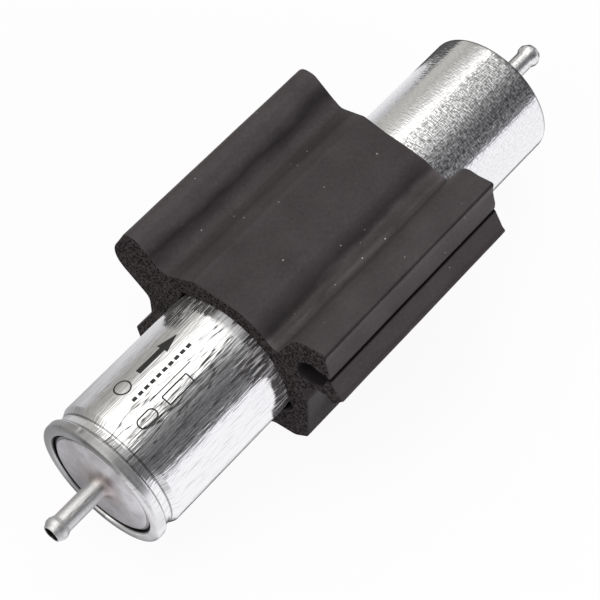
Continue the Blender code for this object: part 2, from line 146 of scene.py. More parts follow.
def fillet(before, corner, after, radius, step=9.0):
    """The arc of this radius that rounds a corner between two straight sides."""
    corner = Vector(corner)
    back = (Vector(before) - corner).normalized()
    ahead = (Vector(after) - corner).normalized()
    half = back.angle(ahead) / 2
    centre = corner + (back + ahead).normalized() * radius / math.sin(half)
    first = corner + back * radius / math.tan(half) - centre
    turn = math.degrees(math.pi - 2 * half) * math.copysign(1.0, back.x * ahead.y - back.y * ahead.x)
    start = math.degrees(math.atan2(first.y, first.x))
    return arc(centre, radius, start, start - turn, max(2, round(abs(turn) / step)))


def rounded(corners, closed=True, step=9.0):
    """An outline through (x, y, fillet radius) corners; an open one keeps its first and last points."""
    points = []
    for i, (x, y, radius) in enumerate(corners):
        if radius == 0.0 or (not closed and i in (0, len(corners) - 1)):
            points.append((x, y))
        else:
            points += fillet(corners[i - 1][:2], (x, y), corners[(i + 1) % len(corners)][:2], radius, step)
    return points


def resampled(points, spacing, closed=True):
    """The same outline with points added so that none is further than the spacing from the next."""
    result = []
    pairs = zip(points, points[1:] + points[:1]) if closed else zip(points, points[1:])
    for a, b in pairs:
        count = max(1, math.ceil(math.dist(a, b) / spacing))
        result += [(a[0] + (b[0] - a[0]) * i / count, a[1] + (b[1] - a[1]) * i / count) for i in range(count)]
    return result if closed else result + [points[-1]]


# ---------------------------------------------------------------- meshes

def smooth_step(low, high, value):
    """A soft rise from zero at low to one at high, or a soft fall if low is the larger."""
    part = np.clip((value - low) / (high - low), 0.0, 1.0)
    return part * part * (3 - 2 * part)


def add_piece(name, verts, faces, materials, body, face_materials=None, sharp=38.0):
    """A mesh drawn in millimetres about the axis becomes a piece in metres that rides on a CAD body."""
    placed = (np.asarray(verts, float) + (0.0, AXIS_Y, AXIS_Z)) * MM
    mesh = bpy.data.meshes.new(name)
    mesh.from_pydata(placed.tolist(), [], faces)
    for material in materials:
        mesh.materials.append(material)
    if face_materials is not None:
        mesh.polygons.foreach_set("material_index", face_materials)
    mesh.validate()
    mesh.shade_smooth()
    mesh.set_sharp_from_angle(angle=math.radians(sharp))
    obj = bpy.data.objects.new(name, mesh)
    bpy.context.scene.collection.objects.link(obj)
    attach(obj, body)
    return obj


def turned(profile, segments):
    """Grids of x, angle and radius, and the faces, of a closed (x, radius) profile turned about the axis."""
    profile = np.array(profile)
    angles = np.linspace(0, 2 * math.pi, segments, endpoint=False)
    x, angle = np.meshgrid(profile[:, 0], angles, indexing="ij")
    radius = np.repeat(profile[:, 1:], segments, axis=1)
    rows = len(profile)
    i, j = np.meshgrid(np.arange(rows), np.arange(segments), indexing="ij")
    i_next = (i + 1) % rows
    j_next = (j + 1) % segments
    corners = (i * segments + j, i_next * segments + j, i_next * segments + j_next, i * segments + j_next)
    faces = np.stack([corner.ravel() for corner in corners], axis=1)
    return x, angle, radius, faces.tolist()


def on_axis(x, angle, radius):
    """Vertices from x, angle and radius grids."""
    return np.stack([x, -radius * np.sin(angle), radius * np.cos(angle)], axis=-1).reshape(-1, 3)


def spigot(length):
    """Outer profile of a hose spigot from its soft root on a wall at x = 0 to the mouth at x = length."""
    root = SPIGOT_ROOT_FILLET
    points = arc((root, SPIGOT_RADIUS + root), root, 180, 270, 12)
    bead = [(length - BEAD_END_X - 1.2, SPIGOT_RADIUS, 0.0), (length - BEAD_END_X, SPIGOT_RADIUS, 1.2)]
    bead += [(length - BEAD_X - 0.5, BEAD_RADIUS, 1.0), (length - BEAD_X + 1.0, BEAD_RADIUS, 1.4)]
    bead += [(length - 0.9, 3.95, 1.2), (length, 3.5, 0.35), (length, SPIGOT_BORE_RADIUS + 0.1, 0.0)]
    return points + rounded(bead, closed=False)


# ---------------------------------------------------------------- nodes

class Nodes:
    """Short ways to add nodes to a tree; they take a plain value wherever they take a socket."""

    def __init__(self, tree):
        self.tree = tree

    def feed(self, socket, value):
        """Links a socket to another node's output, or sets its value."""
        if isinstance(value, bpy.types.NodeSocket):
            self.tree.links.new(value, socket)
        else:
            socket.default_value = value

    def node(self, kind, inputs=None, **settings):
        """A new node of this kind, with its settings made and its inputs fed."""
        node = self.tree.nodes.new(kind)
        for key, value in settings.items():
            setattr(node, key, value)
        for key, value in (inputs or {}).items():
            self.feed(node.inputs[key], value)
        return node

    def math(self, operation, a, b=0.0):
        return self.node("ShaderNodeMath", {0: a, 1: b}, operation=operation).outputs[0]

    def times(self, first, *others):
        """The product of the values."""
        product = first
        for value in others:
            product = self.math("MULTIPLY", product, value)
        return product

    def larger(self, a, b):
        return self.math("MAXIMUM", a, b)

    def without(self, value):
        """What is left of one when the value is taken away."""
        return self.math("SUBTRACT", 1.0, value)

    def away(self, value, centre):
        """How far the value lies from the centre."""
        return self.math("ABSOLUTE", self.math("SUBTRACT", value, centre))

    def ramp(self, value, low, high, to_low=0.0, to_high=1.0):
        """One level up to low, another past high, and a straight line between them."""
        inputs = {"Value": value, "From Min": low, "From Max": high, "To Min": to_low, "To Max": to_high}
        return self.node("ShaderNodeMapRange", inputs).outputs[0]

    def fall(self, value, low, high, top=1.0):
        """A ramp from the top level down to zero."""
        return self.ramp(value, low, high, top, 0.0)

    def band(self, value, start, full, fade, end, top=1.0):
        """A level that rises from start to full and falls again from fade to end."""
        return self.times(self.ramp(value, start, full), self.fall(value, fade, end, top))

    def colours(self, value, stops):
        """A colour read off straight lines through (from, colour) stops."""
        low, high = stops[0][0], stops[-1][0]
        node = self.node("ShaderNodeValToRGB", {0: self.ramp(value, low, high)})
        elements = node.color_ramp.elements
        while len(elements) < len(stops):
            elements.new(0.5)
        for element, (place, colour) in zip(elements, stops):
            element.position = (place - low) / (high - low)
            element.color = (*colour, 1.0)
        return node.outputs[0]

    def curve(self, value, stops):
        """A value read off straight lines through (from, to) stops."""
        top = max(level for _, level in stops)
        return self.times(self.colours(value, [(place, (level / top,) * 3) for place, level in stops]), top)

    def mix(self, factor, a, b):
        """A mix of two values."""
        inputs = {"Factor": factor, 2: a, 3: b}
        return self.node("ShaderNodeMix", inputs, data_type="FLOAT").outputs[0]

    def tint(self, factor, a, b):
        """A mix of two colours."""
        inputs = {"Factor": factor, 6: a, 7: b}
        return self.node("ShaderNodeMix", inputs, data_type="RGBA").outputs[2]

    def split(self, vector):
        """The x, y and z of a vector."""
        return tuple(self.node("ShaderNodeSeparateXYZ", {0: vector}).outputs)

    def combined(self, x, y=0.0):
        return self.node("ShaderNodeCombineXYZ", {0: x, 1: y}).outputs[0]

    def scaled(self, vector, factor):
        """A vector or a colour multiplied by one number."""
        return self.node("ShaderNodeVectorMath", {0: vector, 3: factor}, operation="SCALE").outputs[0]

    def stretched(self, vector, factors):
        """A vector whose x, y and z are multiplied by a number each."""
        return self.node("ShaderNodeVectorMath", {0: vector, 1: factors}, operation="MULTIPLY").outputs[0]

    def noise(self, vector, stretch=None, scale=1.0, detail=2.0, roughness=0.5):
        if stretch:
            vector = self.stretched(vector, stretch)
        inputs = {"Vector": vector, "Scale": scale, "Detail": detail, "Roughness": roughness}
        return self.node("ShaderNodeTexNoise", inputs).outputs["Fac"]

    def voronoi(self, vector, scale):
        return self.node("ShaderNodeTexVoronoi", {"Vector": vector, "Scale": scale}).outputs


class Shader(Nodes):
    """A Principled material, and the coordinates that its patterns are drawn on."""

    SOCKETS = {
        "colour": "Base Color", "roughness": "Roughness", "metallic": "Metallic", "normal": "Normal",
        "gloss": "Specular IOR Level", "glow": "Emission Color", "glow_level": "Emission Strength",
    }

    def __init__(self, name, **sockets):
        self.material = bpy.data.materials.new(name)
        self.material.use_nodes = True
        super().__init__(self.material.node_tree)
        self.surface = self.tree.nodes["Principled BSDF"]
        self.use(**sockets)

    def use(self, **sockets):
        for key, value in sockets.items():
            self.feed(self.surface.inputs[self.SOCKETS[key]], value)
        return self.material

    def position(self):
        """The piece's own coordinates, in millimetres about the filter's axis."""
        own = self.scaled(self.node("ShaderNodeTexCoord").outputs["Object"], 1 / MM)
        centre = (0.0, AXIS_Y, AXIS_Z)
        return self.node("ShaderNodeVectorMath", {0: own, 1: centre}, operation="SUBTRACT").outputs[0]

    def around(self, place, radius):
        """x and the distance round the axis from its top, for marks drawn on a turned surface."""
        x, y, z = self.split(place)
        angle = self.math("ARCTAN2", self.times(y, -1.0), z)
        return x, self.times(angle, radius)

    def radius(self, place, centre=(0.0, 0.0)):
        """Distance from the filter's axis, or from a line along X through another (y, z) centre."""
        inputs = {0: self.stretched(place, (0.0, 1.0, 1.0)), 1: (0.0, *centre)}
        return self.node("ShaderNodeVectorMath", inputs, operation="DISTANCE").outputs["Value"]

    def bump(self, height, depth, under=None):
        """A bump whose height is in millimetres for each unit of the pattern."""
        inputs = {"Height": height, "Strength": 1.0, "Distance": depth * MM}
        if under is not None:
            inputs["Normal"] = under
        return self.node("ShaderNodeBump", inputs).outputs[0]


def grey(value, warm=0.0):
    """A near-grey colour, warmer for a positive number and cooler for a negative one."""
    return (value * (1 + warm), value, value * (1 - warm), 1.0)


def repaint(node, material):
    """A CAD node keeps its shape and gets this material."""
    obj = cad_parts[node]
    obj.data.materials.clear()
    obj.data.materials.append(material)


# ---------------------------------------------------------------- can and cover metal

def woven(s, place, coarse, fine):
    """A cross weave of fine marks, from how often they change along their length and across it."""
    weft = s.noise(place, (coarse, fine, 1.0), detail=1.0)
    warp = s.noise(place, (fine, coarse, 1.0), detail=1.0)
    return s.mix(0.5, weft, warp)


def in_bore(s, radius):
    """One inside the bore of a spigot, and zero outside it."""
    return s.fall(radius, SPIGOT_BORE_RADIUS + 0.02, SPIGOT_BORE_RADIUS + 0.08)


def can_crease_shade(s, x):
    """Painted shade: thin dark lines where the can's wall was bent, behind the lip, along the neck and at the
    far end.
    """
    shade = 1.0
    for place, half_width in ((4.6, 0.3), (NECK_END_X - 2.5, 0.3), (CAN_LENGTH - 0.7, 0.5)):
        line = s.ramp(s.away(x, RIM_X + place), half_width / 2, half_width + 0.12, 0.40, 1.0)
        shade = s.times(shade, line)
    return shade


def can_scratches(s, place, turn):
    """Dark scratches along the can, broad ones and hair-thin ones, each broken into lengths."""
    breaks = s.noise(place, (0.07, 0.5, 1.0), detail=1.0)
    broad = s.math("PINGPONG", s.noise(place, (0.035, 0.40, 1.0)), 0.12)
    broad = s.times(s.fall(broad, 0.006, 0.036), s.ramp(breaks, 0.38, 0.52))
    thin = s.math("PINGPONG", s.noise(place, (0.06, 0.75, 1.0), detail=1.0), 0.14)
    thin = s.times(s.fall(thin, 0.006, 0.042, 0.9), s.fall(breaks, 0.36, 0.58))
    return s.times(s.larger(broad, thin), s.ramp(turn, 8.0, 13.0, 0.95, 0.72))


def can_rim_painted_shade(s, x, turn):
    """Painted shade on the rim, most of it over the top and on the +Y side: a darker colour stands in for a
    dimmer reflection there.
    """
    painted_rim_shade = s.curve(turn, [
        (-30.0, 0.36), (-13.0, 0.40), (-8.0, 0.52), (-4.0, 0.71), (0.0, 0.66), (9.0, 0.62), (17.0, 0.0),
        (30.0, 0.0), (35.0, 0.09), (40.5, 0.17), (46.0, 0.03),
    ])
    return s.times(painted_rim_shade, s.fall(x, RIM_X + 3.0, RIM_X + 6.0))


def can_gap_and_bore_shade(s, x, radius, on_spigot):
    """Painted shade: the gap under the lip and the bore of the spigot, painted dark where shade falls."""
    under_lip = s.band(x, RIM_X + 0.5, RIM_X + 0.7, RIM_X + 3.0, RIM_X + 3.1)
    gap = s.times(under_lip, s.fall(radius, LIP_INNER_RADIUS + 0.05, LIP_INNER_RADIUS + 0.2))
    return s.larger(gap, s.times(on_spigot, in_bore(s, radius)))


def can_bare(s, x, turn, bright):
    """How metallic the can is: less in bright streaks beside the sleeve's edge, which are painted glints, and
    less in a patch along that edge, a painted light that lifts the sleeve's dark reflection there.
    """
    beside = s.band(x, SLEEVE_X - 18.0, SLEEVE_X - 9.0, SLEEVE_X + 8.0, SLEEVE_X + 20.0, 0.45)
    sleeve_edge_painted_light = s.band(x, SLEEVE_X - 7.0, SLEEVE_X - 4.0, SLEEVE_X + 2.0, SLEEVE_X + 6.0, 0.75)
    sleeve_edge_painted_light = s.times(sleeve_edge_painted_light, s.band(turn, -5.0, -2.0, 7.0, 11.0))
    return s.math("SUBTRACT", 0.94, s.larger(s.times(bright, beside), sleeve_edge_painted_light))


def drawn_aluminium():
    """Ironed can: draw streaks on the open half, a cross weave on the closed half, satin at both ends."""
    s = Shader("drawn_aluminium")
    own = s.position()
    radius = s.radius(own)
    x, turn = s.around(own, CAN_RADIUS)
    place = s.combined(x, turn)
    closed_half = s.ramp(x, -20.0, 50.0)
    on_spigot = s.ramp(x, END_X - 0.5, END_X + 0.5)
    end_face = s.ramp(x, END_X - 0.4, END_X - 0.1)
    satin = s.larger(s.fall(x, RIM_X + 3.6, RIM_X + 5.2), end_face)
    front = s.mix(end_face, s.ramp(s.away(turn, 11.5), 11.0, 15.0, 1.0, 0.12), 0.3)

    streaks = s.noise(place, (0.08, 0.80, 1.0), roughness=0.6)
    hairs = s.noise(place, (0.15, 1.4, 1.0), detail=1.0)
    rings = s.noise(place, (1.4, 0.02, 1.0))
    waves = s.noise(place, (0.02, 0.10, 1.0), detail=1.0)
    lathe = s.noise(s.combined(radius), scale=1.3)
    cast = s.noise(own, scale=1.1)
    fine_weave = woven(s, place, 0.5, 1.8)
    marks = s.mix(closed_half, s.mix(0.45, streaks, hairs), woven(s, place, 0.35, 1.25))
    marks = s.mix(end_face, marks, s.mix(0.5, lathe, cast))

    haze = s.mix(satin, s.ramp(marks, 0.40, 0.60, 0.07, 0.14), s.ramp(rings, 0.3, 0.7, 0.26, 0.36))
    relief = s.times(s.math("SUBTRACT", marks, 0.5), s.mix(satin, 1.0, s.mix(on_spigot, 0.35, 0.1)))
    relief = s.times(relief, s.mix(closed_half, 0.20, 0.10), s.ramp(turn, 9.0, 15.0, 1.0, 0.78))
    normal = s.bump(relief, 1.0, s.bump(waves, 0.20, s.bump(s.times(rings, satin), 0.04)))

    speckle = s.mix(end_face, fine_weave, cast)
    speckle = s.mix(front, s.ramp(speckle, 0.40, 0.56, 0.95, 1.0), s.ramp(speckle, 0.43, 0.54, 0.36, 1.0))
    grain = s.mix(closed_half, s.ramp(marks, 0.36, 0.46, 0.80, 1.0), speckle)
    worn = s.times(front, s.without(s.larger(closed_half, satin)))
    tone = s.times(s.ramp(x, 0.0, END_X, 0.91, 0.89), grain)
    tone = s.times(tone, s.without(s.times(can_scratches(s, place, turn), worn)))
    # Painted shade: the dark crease lines, and the rim darkened over the top and on the +Y side.
    tone = s.times(tone, can_crease_shade(s, x), s.without(can_rim_painted_shade(s, x, turn)))
    # Painted shade in the gap under the lip and in the spigot's bore.
    tone = s.mix(can_gap_and_bore_shade(s, x, radius, on_spigot), tone, 0.04)
    colour = s.node("ShaderNodeCombineColor", {0: tone, 1: tone, 2: tone}).outputs[0]

    # Painted glints: bright streaks where the can is made less metallic beside the sleeve's edge.
    bright = s.ramp(s.mix(0.5, streaks, hairs), 0.49, 0.60)
    bright = s.mix(closed_half, bright, s.ramp(fine_weave, 0.50, 0.58))
    return s.use(colour=colour, roughness=haze, normal=normal, metallic=can_bare(s, x, turn, bright))


def cover_aluminium():
    """Bead-blasted cover: mottled, with painted light that makes it lighter upwards, browner and darker round
    the spigot's root, and with painted shade in the groove under the lip and in the bore.
    """
    s = Shader("cover_aluminium", metallic=1.0)
    place = s.position()
    x, _, height = s.split(place)
    radius = s.radius(place)
    cloud = s.noise(place, scale=0.12, detail=3.0, roughness=0.6)
    rings = s.noise(s.combined(radius), scale=1.1)
    grain = s.noise(place, scale=1.6)
    colour = s.tint(s.ramp(cloud, 0.38, 0.62), (0.50, 0.485, 0.49, 1.0), (0.66, 0.65, 0.67, 1.0))
    # Painted light: the cover is made lighter upwards.
    colour = s.scaled(colour, s.ramp(height, -14.0, 10.0, 1.0, 1.42))
    colour = s.tint(s.fall(radius, 4.5, 13.0, 0.75), colour, (0.42, 0.36, 0.335, 1.0))
    on_spigot = s.fall(x, RIM_X - 3.0, RIM_X - 1.0)
    colour = s.tint(on_spigot, colour, grey(0.74))
    # Painted shade: a darker ring past the plate's edge, a near black groove under the lip and a near black
    # bore.
    ledge = s.ramp(radius, COVER_PLATE_RADIUS, COVER_PLATE_RADIUS + 0.3, 0.0, 0.55)
    colour = s.tint(ledge, colour, grey(0.20))
    groove_painted_shade = s.ramp(radius, COVER_LEDGE_RADIUS - 0.75, COVER_LEDGE_RADIUS - 0.5)
    colour = s.tint(s.larger(groove_painted_shade, in_bore(s, radius)), colour, grey(0.03))
    roughness = s.mix(on_spigot, s.ramp(cloud, 0.3, 0.7, 0.38, 0.48), s.ramp(grain, 0.3, 0.7, 0.40, 0.55))
    return s.use(colour=colour, roughness=roughness, normal=s.bump(grain, 0.07, s.bump(rings, 0.14)))


# ---------------------------------------------------------------- rubber

def skin_light_and_shade_bands(s, place, y):
    """Bands along the sleeve, with wavering edges: painted light where sheen brightens the rubber, painted
    shade along its slopes and valleys, and a little real stain in the valleys.
    """
    stray = s.noise(place, (0.04, 0.12, 0.12))
    across = s.math("ADD", y, s.ramp(stray, 0.3, 0.7, -1.2, 1.2))
    return s.curve(across, [
        (-54.0, 1.0), (-47.0, 1.0), (-43.0, 1.25), (-24.0, 1.25), (-22.4, 1.5), (-21.0, 2.6), (-18.8, 2.9),
        (-17.4, 1.5), (-16.4, 0.95), (-14.5, 1.0), (-10.0, 1.3), (-6.5, 1.08), (14.0, 1.05), (18.0, 1.35),
        (21.0, 1.3), (23.5, 1.0), (28.0, 1.3), (32.0, 1.3), (34.2, 0.85), (35.8, 0.5), (37.2, 0.85),
        (39.5, 1.4), (58.0, 1.4),
    ])


def skin_shelter(s, y, z):
    """Below one on the flank between the lower lip and the foot, which little light reaches."""
    flank = s.mix(s.ramp(y, -33.0, -30.0), s.ramp(z, -6.0, 17.0, 0.30, 0.80), 1.0)
    return s.mix(s.ramp(z, 16.0, 19.0), flank, 1.0)


def skin_crease_shade(s, place, y, z):
    """Painted shade about the lips: the upper lip's outer edge, the slit and the hollow of the slot are
    darkened where shade falls.
    """
    edge = s.times(s.fall(y, -44.7, -44.1), s.ramp(z, 46.4, 47.0), 0.55)
    slit = s.times(s.fall(s.away(z, SLIT_Z), 0.6, 1.1), s.fall(y, -44.0, -43.0), 0.85)
    hollow = s.fall(s.radius(place, SLOT_CENTRE), 6.4, 7.0, 0.6)
    return s.larger(s.larger(edge, slit), hollow)


def sleeve_skin():
    """Skin of the extruded sponge rubber: fine die lines, bands of painted light and shade, painted shade in
    the creases, and specks of dust.

    The plain gloss given first stands in wherever the one linked at the end can't be used, as in an export.
    """
    s = Shader("sponge_rubber_skin", gloss=SKIN_GLOSS)
    place = s.position()
    _, y, z = s.split(place)
    cloud = s.noise(place, scale=0.06, detail=3.0)
    lines = s.noise(place, (0.05, 0.5, 0.5))
    grain = s.noise(place, scale=0.75, detail=3.0, roughness=0.65)
    specks = s.voronoi(place, 0.26)
    chance = s.node("ShaderNodeSeparateColor", {0: specks["Color"]}).outputs[0]
    dust = s.math("LESS_THAN", specks["Distance"], s.ramp(chance, 0.5, 1.0, 0.0, 0.085))
    tone = s.mix(0.5, cloud, grain)
    colour = s.tint(s.ramp(tone, 0.35, 0.65), (0.039, 0.034, 0.035, 1.0), (0.055, 0.049, 0.050, 1.0))
    colour = s.tint(s.times(dust, 0.7), colour, (0.45, 0.44, 0.42, 1.0))
    # Painted shade: the creases and the sheltered flank darken both the colour and the gloss.
    lit = s.times(s.without(skin_crease_shade(s, place, y, z)), skin_shelter(s, y, z))
    # Painted light and shade in bands along the sleeve.
    colour = s.scaled(colour, s.times(skin_light_and_shade_bands(s, place, y), lit))
    normal = s.bump(grain, 0.10, s.bump(lines, 0.10))
    roughness = s.ramp(tone, 0.35, 0.65, 0.54, 0.46)
    return s.use(colour=colour, roughness=roughness, gloss=s.times(lit, SKIN_GLOSS), normal=normal)


def sleeve_core():
    """Open cells of the sponge where the sleeve is cut to length."""
    s = Shader("sponge_rubber_cut", roughness=0.95, gloss=0.1)
    place = s.position()
    cells = s.voronoi(place, 1.0)
    fine = s.voronoi(place, 2.0)
    pits = s.mix(0.4, cells["Distance"], fine["Distance"])
    # Painted shade: the hollows of the cells are painted near black, and their walls lighter.
    colour = s.tint(s.ramp(pits, 0.34, 0.64), (0.002, 0.0015, 0.0015, 1.0), (0.058, 0.049, 0.050, 1.0))
    return s.use(colour=colour, normal=s.bump(pits, 0.35))


def seal_rubber():
    """Plain black rubber of the two seals."""
    s = Shader("seal_rubber")
    grain = s.noise(s.position(), scale=1.8, detail=3.0)
    colour = s.tint(s.ramp(grain, 0.3, 0.7), grey(0.012), grey(0.024))
    return s.use(colour=colour, roughness=s.ramp(grain, 0.3, 0.7, 0.42, 0.6), normal=s.bump(grain, 0.02))


# ---------------------------------------------------------------- other materials

def printed_ink():
    """Black ink, worn a little grey in places."""
    s = Shader("black_ink")
    wear = s.noise(s.position(), scale=1.4, detail=3.0)
    return s.use(colour=s.tint(s.ramp(wear, 0.35, 0.7), grey(0.006), grey(0.02)))


def turned_metal(name, low, high, roughness, warm=0.0):
    """A plated or wire-drawn steel with fine marks round its axis."""
    s = Shader(name, metallic=1.0)
    place = s.position()
    rings = s.noise(place, (2.4, 0.25, 0.25), detail=3.0)
    cloud = s.noise(place, scale=0.25)
    colour = s.tint(s.ramp(cloud, 0.3, 0.7), grey(low, warm), grey(high, warm))
    rough = s.ramp(rings, 0.3, 0.7, roughness - 0.06, roughness + 0.08)
    return s.use(colour=colour, roughness=rough, normal=s.bump(rings, 0.012))


def resin_paper():
    """Brown filter paper with soft fibres."""
    s = Shader("resin_paper", roughness=0.88)
    place = s.position()
    fibres = s.noise(place, (0.5, 1.6, 1.6), detail=4.0, roughness=0.7)
    cloud = s.noise(place, scale=0.12)
    colour = s.tint(s.mix(0.5, fibres, cloud), (0.50, 0.36, 0.16, 1.0), (0.80, 0.68, 0.42, 1.0))
    return s.use(colour=colour, normal=s.bump(fibres, 0.06))


def white_nylon():
    """Woven strainer mesh."""
    s = Shader("white_nylon")
    x, turn = s.around(s.position(), STRAINER_RADIUS)
    along = s.math("SINE", s.times(x, STRAINER_THREADS))
    across = s.math("SINE", s.times(turn, STRAINER_THREADS))
    weave = s.times(along, across)
    colour = s.tint(s.ramp(weave, -0.6, 0.6), grey(0.42), grey(0.80, 0.02))
    return s.use(colour=colour, normal=s.bump(weave, 0.05))


# ---------------------------------------------------------------- can and cover

def dent(x, angle, at_x, at_angle, half_length, half_width, depth):
    """Depth of a small nick at a place on a turned surface, angles in degrees."""
    turn = (np.degrees(angle) - at_angle + 180.0) % 360.0 - 180.0
    along = np.clip(1 - np.abs(x - at_x) / half_length, 0.0, 1.0)
    across = np.clip(1 - np.abs(turn) / half_width, 0.0, 1.0)
    return depth * along * across


def can_profile():
    """The can from the lip's flap over the outside to the spigot's mouth, then back along the inside."""
    outside = rounded([
        (LIP_FLAP_X, LIP_INNER_RADIUS, 0.0),
        (0.9, LIP_INNER_RADIUS, 0.0),
        (0.0, LIP_INNER_RADIUS + 0.5, 0.6),
        (0.0, RIM_RADIUS, 1.6),
        (LIP_LENGTH, RIM_RADIUS, 0.9),
        (5.2, SHOULDER_RADIUS, 0.7),
        (NECK_X, NECK_RADIUS, 1.0),
        (NECK_END_X, CAN_RADIUS, 1.5),
        (CAN_LENGTH, CAN_RADIUS, END_CORNER),
        (CAN_LENGTH, SPIGOT_FOOT_RADIUS + 1.0, 0.0),
    ], closed=False)
    mouth = TIP_X - RIM_X
    outside += [(CAN_LENGTH + x, radius) for x, radius in spigot(mouth - CAN_LENGTH)]
    inner = CAN_RADIUS - CAN_WALL
    floor = CAN_LENGTH - END_WALL
    inside = [(mouth - MOUTH_CHAMFER, SPIGOT_BORE_RADIUS), (floor, SPIGOT_BORE_RADIUS), (floor, inner)]
    inside += [(NECK_END_X + 0.4, inner), (NECK_X, NECK_RADIUS - CAN_WALL)]
    inside += [(LIP_LENGTH, SHOULDER_RADIUS - 0.1), (LIP_FLAP_X, SHOULDER_RADIUS)]
    return resampled(outside, 1.6, closed=False) + resampled(inside, 12.0, closed=False)


def build_can(metal):
    """The can, its wall slightly out of round and its lip nicked in two places."""
    x, angle, radius, faces = turned(can_profile(), CAN_SEGMENTS)
    inner = CAN_RADIUS - CAN_WALL
    side = smooth_step(NECK_END_X, NECK_END_X + 8, x) * smooth_step(CAN_LENGTH - 1, CAN_LENGTH - 12, x)
    outer = radius > inner + 0.1
    waver = 0.5 + 0.25 * np.sin(3 * angle + 0.021 * x) + 0.25 * np.sin(5 * angle - 0.034 * x + 1.0)
    radius = radius - 0.05 * waver * side * outer
    for at_angle, depth in ((-18.4, 0.4), (0.2, 0.35)):
        radius = radius - dent(x, angle, 3.0, at_angle, 2.0, 2.4, depth) * (radius > inner)
    can = add_piece("can_shell", on_axis(x + RIM_X, angle, radius), faces, [metal],
                    "filter_body")
    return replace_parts(can, "canister")


def cover_profile():
    """The cover from the spigot's mouth over the plate to the flange, then back along the inside."""
    length = RIM_X + COVER_SINK - INLET_TIP_X
    ledge = COVER_STEP - COVER_SINK
    outside = [(-x, radius) for x, radius in reversed(spigot(length))]
    outside += rounded([
        (0.0, SPIGOT_FOOT_RADIUS, 0.0),
        (0.0, COVER_PLATE_RADIUS, 0.35),
        (0.55, COVER_PLATE_RADIUS + 0.15, 0.2),
        (0.75, COVER_LEDGE_RADIUS, 0.35),
        (ledge, COVER_LEDGE_RADIUS, 0.1),
        (ledge, COVER_FLANGE_RADIUS, 0.0),
        (ledge + COVER_THICKNESS, COVER_FLANGE_RADIUS, 0.0),
    ], closed=False)
    inner = COVER_PLATE_RADIUS - COVER_THICKNESS
    inside = [(ledge + COVER_THICKNESS, inner), (COVER_THICKNESS, inner)]
    inside += [(COVER_THICKNESS, SPIGOT_BORE_RADIUS + 0.4), (COVER_THICKNESS - 0.4, SPIGOT_BORE_RADIUS)]
    inside += [(MOUTH_CHAMFER - length, SPIGOT_BORE_RADIUS)]
    return resampled(outside, 1.2, closed=False) + resampled(inside, 6.0, closed=False)


def build_cover(metal):
    """The cover plate and its spigot, with a few small dents in the spigot."""
    x, angle, radius, faces = turned(cover_profile(), COVER_SEGMENTS)
    on_spigot = (radius > SPIGOT_BORE_RADIUS + 0.2) & (radius < BEAD_RADIUS + 0.3)
    for at_x, at_angle, depth in ((-8.4, 31.0, 0.28), (-16.0, 24.0, 0.16), (-11.0, 12.0, 0.12)):
        radius = radius - dent(x, angle, at_x, at_angle, 1.3, 9.0, depth) * on_spigot
    cover = add_piece("cover_plate", on_axis(x + RIM_X + COVER_SINK, angle, radius), faces, [metal],
                      "filter_body")
    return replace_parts(cover, "inlet_cover")


# ---------------------------------------------------------------- sleeve

def sleeve_outline():
    """Outer section of the sleeve as (y, z), from the ear past the feet and the lips, then over the top."""
    ear = [(42.3, 34.2, 4.0), (48.3, 34.0, 5.0), (57.6, 13.6, 10.0), (39.1, 0.4, 5.0), (39.1, -10.5, 8.0)]
    left_foot = [(48.4, -29.8, 2.0), (46.9, SOLE_Z, 1.5), (35.0, SOLE_Z, 2.0)]
    arch = [(31.0, -30.5, 3.0), (18.0, -30.5, 4.0)]
    belly = [(11.0, SOLE_Z, 2.0), (-12.0, SOLE_Z, 2.0)]
    right_foot = [(-21.0, -24.8, 6.0), (-31.5, -22.6, 6.0), (-37.3, -17.4, 1.2), (-37.3, 9.6, 4.0)]
    lower_lip = [(-34.0, 14.2, 0.8), (-43.6, 22.4, 4.0), (-48.8, 19.6, 1.0), (-53.4, 26.4, 0.8)]
    slot = [(-51.5, 27.4, 1.5), (-47.2, 33.3, 0.4), (-46.0, 33.3, 0.4), (-43.6, 26.2, 5.0)]
    slot += [(-38.2, 23.6, 4.0), (-32.4, 23.6, 2.2), (-32.7, 30.8, 3.5), (-37.4, 34.9, 5.0)]
    upper_lip = [(-47.0, 34.0, 0.4), (-46.9, 37.0, 2.0), (-45.2, 43.0, 3.0), (-45.2, 48.0, 1.2)]
    crease = [(-31.0, 44.7, 9.0), (-23.6, 28.1, 1.5), (-21.2, 28.2, 2.5)]
    top = [(-14.5, 33.2, 16.0), (-7.0, 36.1, 14.0), (15.8, 34.3, 3.0), (30.3, 24.4, 5.0)]
    corners = ear + left_foot + arch + belly + right_foot + lower_lip + slot + upper_lip + crease + top
    return rounded(corners, step=6.0)


def sleeve_bore(count=230):
    """The bore, a circle with shallow reliefs where the rubber stands off the can."""
    degrees = np.arange(count) * 360.0 / count
    radius = np.full(count, SLEEVE_BORE_RADIUS)
    for centre, half_width, depth in BORE_RELIEFS:
        offset = np.clip(np.abs(degrees - centre) / half_width, 0.0, 1.0)
        radius += depth * (1 + np.cos(math.pi * offset)) / 2
    angles = np.radians(degrees)
    return np.stack([-radius * np.cos(angles), radius * np.sin(angles)], axis=1)


def outward(outline):
    """Unit normals of a clockwise outline."""
    along = np.roll(outline, -1, axis=0) - np.roll(outline, 1, axis=0)
    along /= np.linalg.norm(along, axis=1)[:, None]
    return np.stack([-along[:, 1], along[:, 0]], axis=1)


